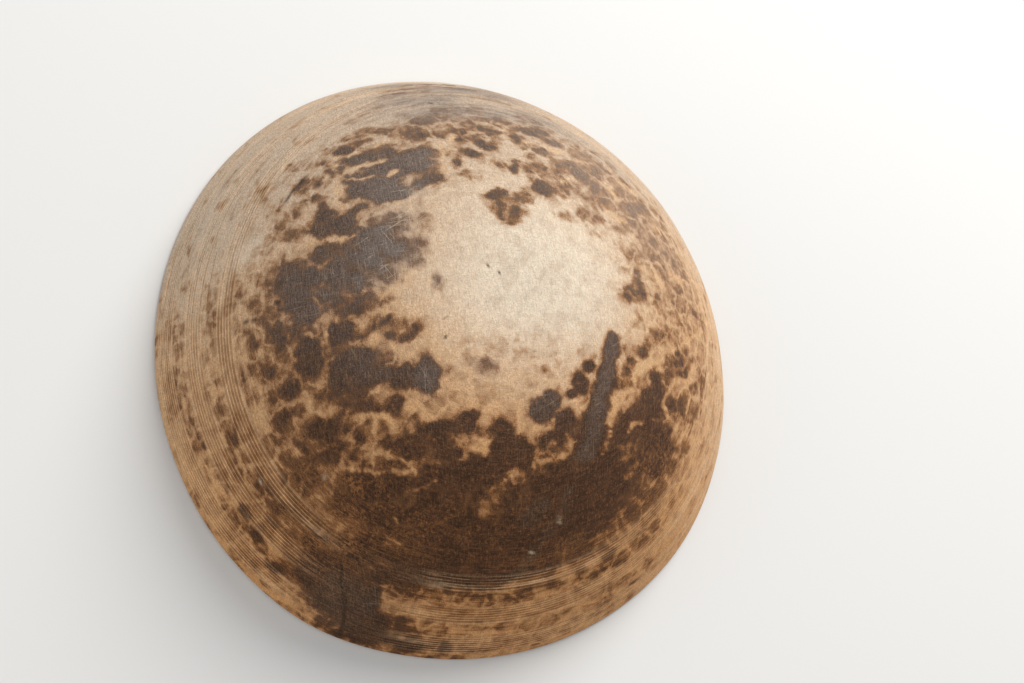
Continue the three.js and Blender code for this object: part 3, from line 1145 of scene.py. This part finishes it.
def stain_level(g, f, t):
    """The stain's field, lobed by the colonies and broken up by noise."""
    inner = g.without(t.outer, 0.6)
    streaky = g.times(t.outer, f.ember)
    broken = g.add(g.swing(t.blobs, 0.85), g.swing(t.crumbs, 0.45))
    broken = g.times(broken, g.without(streaky, 0.3))
    broken = g.add(
        broken,
        g.times(g.add(t.lobes, -0.42), -0.34, inner),
        g.times(g.add(t.buds, -0.42), -0.34, inner),
        g.add(g.swing(t.specks, 0.7), g.swing(t.grit, 0.30)),
        g.swing(t.fibres, g.add(g.times(t.outer, 0.70), 0.35)),
        g.swing(t.fibres, g.times(streaky, 1.1)),
        g.swing(t.rounds, g.add(g.times(t.outer, 0.9), 0.35)),
        g.times(g.add(t.net, -0.9), g.step(f.stain, 0.70, 0.98, 0.24, 0.08)),
    )
    loose = g.times(
        g.step(f.stain, 0.02, 0.30, g.step(f.pale, 0.3, 0.9, 0.32, 0.06), 1.0),
        g.without(f.pale, 0.35),
        g.without(f.worn, 0.45),
        g.step(f.stain, 0.75, 1.0, 1.0, 0.65),
        g.without(f.band, 0.5),
    )
    return g.add(f.stain, g.times(broken, loose))


def bare_wood(g, f, t, halo):
    """The unstained wood, warmer towards +X, cream where it is rubbed and where a sheen is painted
    near the rim.
    """
    bare = g.without(f.pale, 0.8)
    cloud = g.times(g.step(t.blobs, 0.46, 0.62), g.add(g.times(f.pale, 0.30), 0.16))
    beside = g.times(g.step(f.stain, 0.02, 0.26, 0.0, 0.62), g.times(bare, f.warm))
    return g.layered(
        GROUND_COOL,
        (g.step(f.warm, 0.0, 0.5), GROUND_MID),
        (g.step(f.warm, 0.5, 1.0), GROUND_WARM),
        # cream where the middle is rubbed, and painted sheen near the rim
        (f.pale, CREAM),
        (g.times(bare, g.step(t.fibres, 0.42, 0.72, 0.0, 0.62)), halo),
        (g.times(bare, g.step(t.rounds, 0.45, 0.75, 0.0, 0.55)), halo),
        (cloud, GROUND_COOL),
        (g.step(t.crumbs, 0.50, 0.66, 0.0, 0.14), GROUND_WARM),
        (g.step(t.grain, 0.46, 0.78, 0.0, 0.30), halo),
        (g.step(t.crumbs, 0.36, 0.24, 0.0, 0.4), CREAM),
        (g.times(f.vein, 0.65), VEIN_COLOUR),
        (beside, AMBER),
    )


def dark_wood(g, f, t, rim, brown):
    """The stain's cores, with the lighter tones that break through them."""
    russet = g.step(g.noise(f.chart, 0.06, 4.0, 0.6), 0.50, 0.64, 0.0, 0.34)
    embers = g.most(g.step(t.lobes, 0.52, 0.64), g.step(t.buds, 0.56, 0.68, 0.0, 0.7))
    embers = g.most(
        g.times(embers, g.step(t.crumbs, 0.42, 0.56)),
        g.times(t.outer, g.step(t.fibres, 0.50, 0.62)),
        g.times(t.outer, g.step(t.rounds, 0.50, 0.62)),
    )
    ember_share = g.times(f.ember, g.add(g.times(t.outer, 0.15), 0.42), embers)
    worn_share = g.times(f.worn, g.step(t.blobs, 0.30, 0.60, 0.45, 0.85))
    return g.layered(
        DARK_COOL,
        (g.step(f.warm, 0.2, 0.8), DARK_WARM),
        (g.step(t.fibres, 0.42, 0.72, 0.0, 0.60), brown),
        (g.step(t.down, 0.52, 0.68, 0.0, 0.26), rim),
        (g.times(russet, f.warm), RUSSET),
        (g.step(t.rounds, 0.50, 0.75, 0.0, 0.60), brown),
        (g.step(t.crumbs, 0.52, 0.75, 0.0, 0.60), rim),
        (ember_share, EMBER),
        (worn_share, g.mix(g.step(f.warm, 0.5, 0.9), DARK_WORN, KNOT_WORN)),
    )


def wood_colour(g, f, t, level, core):
    """Bare wood, halo, rim, brown and dark in turn as the level rises, then what lies on them."""
    halo = g.mix(f.warm, HALO_COOL, HALO_WARM)
    rim = g.layered(RIM_COOL, (f.warm, RIM_WARM), (g.times(f.worn, 0.8), RIM_WORN))
    brown = g.mix(f.warm, BROWN_COOL, BROWN_WARM)
    worn_halo = g.mix(g.times(f.worn, 0.75), halo, HALO_WORN)
    ridge = g.times(
        f.band,
        g.step(f.line, 0.28, 0.0),
        g.step(t.fibres, 0.35, 0.6, 0.45, 0.95),
        g.without(core, 0.55),
    )
    hatch_share = g.add(g.times(f.worn, 0.38), g.times(g.less(f.warm), 0.14))
    patchy = g.step(g.noise(f.chart, 0.045, 2.0), 0.44, 0.60)
    nick_share = g.times(patchy, g.add(g.times(f.worn, 0.36), g.times(f.pale, 0.28)))
    return g.layered(
        bare_wood(g, f, t, halo),
        (g.step(level, *HALO_SPAN, 0.0, 0.9), worn_halo),
        (g.step(level, *RIM_SPAN), rim),
        (g.step(level, *BROWN_SPAN), brown),
        (core, dark_wood(g, f, t, rim, brown)),
        # lighter ridges, and darker scored lines between them
        (ridge, RIDGE),
        (g.step(f.line, 0.40, 1.0, 0.0, 0.40), rim),
        # the pale painted sheen over the lit stain, the painted grey sheen over the far side,
        # scratches and pits
        (g.times(f.haze, g.step(f.stain, 0.0, 0.8, 0.0, 0.56)), PAINTED_SHEEN),
        (g.times(f.film, g.step(t.rounds, 0.3, 0.65, 0.40, 0.88)), PAINTED_GREY_SHEEN),
        (g.times(t.hatch, hatch_share), HATCH),
        (g.times(t.nicks, nick_share), NICK_COLOUR),
        (f.scar, SCAR_COLOUR),
        (g.times(f.pit, 0.85), PIT_COLOUR),
        (t.pores, brown),
    )


def wood_material():
    g = Graph("stained_old_wood")
    f = wood_fields(g)
    t = wood_textures(g, f)
    level = stain_level(g, f, t)
    core = g.step(level, *CORE_SPAN)

    # coarse grit and fibres in the outside's brightness, and a plainer inside
    coarse = g.times(
        g.step(core, 0.0, 1.0, 0.75, 1.15),
        g.without(f.pale, 0.55),
        g.without(f.worn, 0.4),
    )
    fibre_tone = g.swing(t.fibres, g.step(t.outer, 0.0, 1.0, 0.45, 1.15))
    brightness = g.add(g.swing(t.grit, coarse), fibre_tone, 1.0)
    outside = g.brightened(wood_colour(g, f, t, level, core), brightness)
    mottle = g.add(g.times(t.rounds, 0.6), g.times(t.blobs, 0.4))
    hollow = g.layered(
        INSIDE_LIGHT,
        (g.step(mottle, 0.35, 0.7), INSIDE_DARK),
        (g.step(t.fibres, 0.4, 0.8, 0.0, 0.5), INSIDE_DARK),
    )

    relief = g.add(
        g.times(t.fibres, 0.6),
        g.times(t.rounds, 0.4),
        g.times(t.specks, 0.25),
        g.times(t.grain, 0.3),
        g.times(f.pit, -1.2),
        g.times(t.hatch, -0.2),
    )
    roughness = g.step(core, 0.0, 1.0, BARE_ROUGHNESS, CORE_ROUGHNESS)
    g.feed_all(
        g.shader,
        Base_Color=g.mix(f.inside, outside, hollow),
        Roughness=g.add(roughness, g.swing(t.crumbs, 0.2)),
        Specular_IOR_Level=SPECULAR_LEVEL,
        Normal=g.bump(relief, RELIEF_DEPTH, RELIEF_STRENGTH),
    )
    return g.material


# -------------------------------------------------------------------------------------- the stage
def floor_material():
    g = Graph("pale_floor")
    g.feed_all(g.shader, Base_Color=FLOOR_COLOUR, Roughness=FLOOR_ROUGHNESS)
    return g.material


def lay_floor():
    mesh = bpy.data.meshes.new("floor")
    corners = [(x * FLOOR_HALF, y * FLOOR_HALF, 0) for x, y in ((-1, -1), (1, -1), (1, 1), (-1, 1))]
    mesh.from_pydata(corners, [], [(0, 1, 2, 3)])
    mesh.materials.append(floor_material())
    floor = bpy.data.objects.new("floor", mesh)
    bpy.context.scene.collection.objects.link(floor)


def place_camera():
    """The camera looks down on the bowl from the -Y +X side, rolled so that -X is up."""
    place = Vector(CAMERA_PLACE)
    forward = (Vector(CAMERA_AIM) - place).normalized()
    level_right = forward.cross(Vector((0, 0, 1))).normalized()
    level_up = level_right.cross(forward)
    right = math.cos(CAMERA_ROLL) * level_right + math.sin(CAMERA_ROLL) * level_up
    up = -math.sin(CAMERA_ROLL) * level_right + math.cos(CAMERA_ROLL) * level_up
    turned = Matrix((right, up, -forward)).transposed().to_4x4()
    data = bpy.data.cameras.new("camera")
    data.lens = CAMERA_LENS
    data.sensor_width = SENSOR_WIDTH
    camera = bpy.data.objects.new("camera", data)
    camera.matrix_world = Matrix.Translation(place) @ turned
    bpy.context.scene.collection.objects.link(camera)
    bpy.context.scene.camera = camera


def hang_lamp(name, place, width, power, colour):
    data = bpy.data.lights.new(name, "AREA")
    data.shape = "DISK"
    data.size = width
    data.energy = power
    data.color = colour
    lamp = bpy.data.objects.new(name, data)
    lamp.location = place
    lamp.rotation_mode = "QUATERNION"
    lamp.rotation_quaternion = (Vector(LAMP_AIM) - Vector(place)).to_track_quat("-Z", "Y")
    bpy.context.scene.collection.objects.link(lamp)


def light_scene():
    for lamp in LAMPS:
        hang_lamp(*lamp)
    world = bpy.data.worlds.new("studio")
    world.use_nodes = True
    sky = world.node_tree.nodes["Background"]
    sky.inputs["Color"].default_value = (1.0, 1.0, 1.0, 1.0)
    sky.inputs["Strength"].default_value = SKY_STRENGTH
    bpy.context.scene.world = world
    bpy.context.scene.view_settings.view_transform = "Standard"
    bpy.context.scene.view_settings.look = "None"


bowl = bowl_object(wood_material())
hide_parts("bowl")
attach(bowl, "root")
lay_floor()
place_camera()
light_scene()
